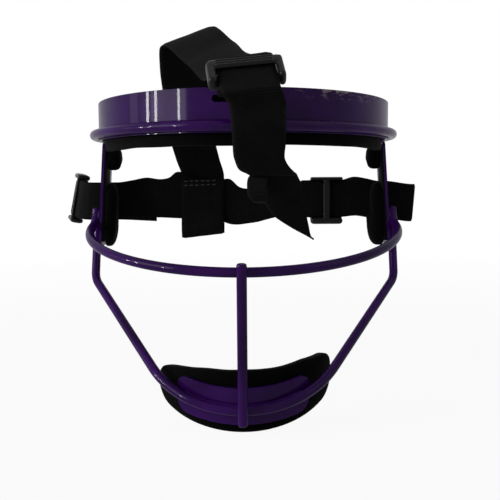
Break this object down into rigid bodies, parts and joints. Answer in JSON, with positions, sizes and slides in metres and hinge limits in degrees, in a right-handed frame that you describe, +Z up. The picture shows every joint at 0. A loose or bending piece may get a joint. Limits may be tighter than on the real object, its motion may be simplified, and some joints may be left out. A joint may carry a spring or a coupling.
{
  "type": "softball face guard",
  "caption": "Open wire face guard for a softball fielder: padded brow band, wire cheek, nose and jaw bars, padded chin cup, and adjustable elastic head straps.",
  "frame": {"origin": "centre of the head opening, level with the rim wire under the brow band", "axes": "+X to the viewer's right as seen from the front, -Y out of the front of the face, +Z up as worn"},
  "size_m": [0.2106, 0.1745, 0.1984],
  "materials": {
    "frame_enamel": "glossy dark purple enamel on steel wire and strip",
    "pad_foam": "matte black closed-cell foam",
    "loop_tape": "black loop tape",
    "strap_webbing": "black elastic webbing, finely ribbed",
    "adjuster_plastic": "black moulded plastic, half gloss"
  },
  "bodies": {
    "guard": {"brow_band": "frame_enamel", "brow_rim_wire": "frame_enamel", "left_side_plate": "frame_enamel", "right_side_plate": "frame_enamel", "cheek_bar": "frame_enamel", "jaw_wire": "frame_enamel", "nose_bar": "frame_enamel", "chin_plate": "frame_enamel", "brow_pad": "pad_foam", "left_temple_pad": "pad_foam", "right_temple_pad": "pad_foam", "left_cheek_pad": "pad_foam", "right_cheek_pad": "pad_foam", "chin_pad": "pad_foam", "brow_pad_tape": "loop_tape", "left_plate_tape": "loop_tape", "right_plate_tape": "loop_tape", "chin_pad_tape": "loop_tape", "back_strap": "strap_webbing", "top_strap": "strap_webbing", "top_adjuster_anchor_loop": "strap_webbing"},
    "right_adjuster": {"right_strap_adjuster": "adjuster_plastic"},
    "left_adjuster": {"left_strap_adjuster": "adjuster_plastic"},
    "top_adjuster": {"top_strap_adjuster": "adjuster_plastic"}
  },
  "joints": [
    {"name": "right_adjuster_slide", "type": "slide", "parent": "guard", "child": "right_adjuster", "axis": [1, 0, 0], "range_m": [-0.004, 0.014]},
    {"name": "left_adjuster_slide", "type": "slide", "parent": "guard", "child": "left_adjuster", "axis": [-0.3033, 0.9511, 0.059], "range_m": [-0.0015, 0.004]},
    {"name": "top_adjuster_slide", "type": "slide", "parent": "guard", "child": "top_adjuster", "axis": [-0.1392, 0.6879, 0.7123], "range_m": [-0.003, 0.001], "deforming": ["top_adjuster_anchor_loop"]}
  ]
}
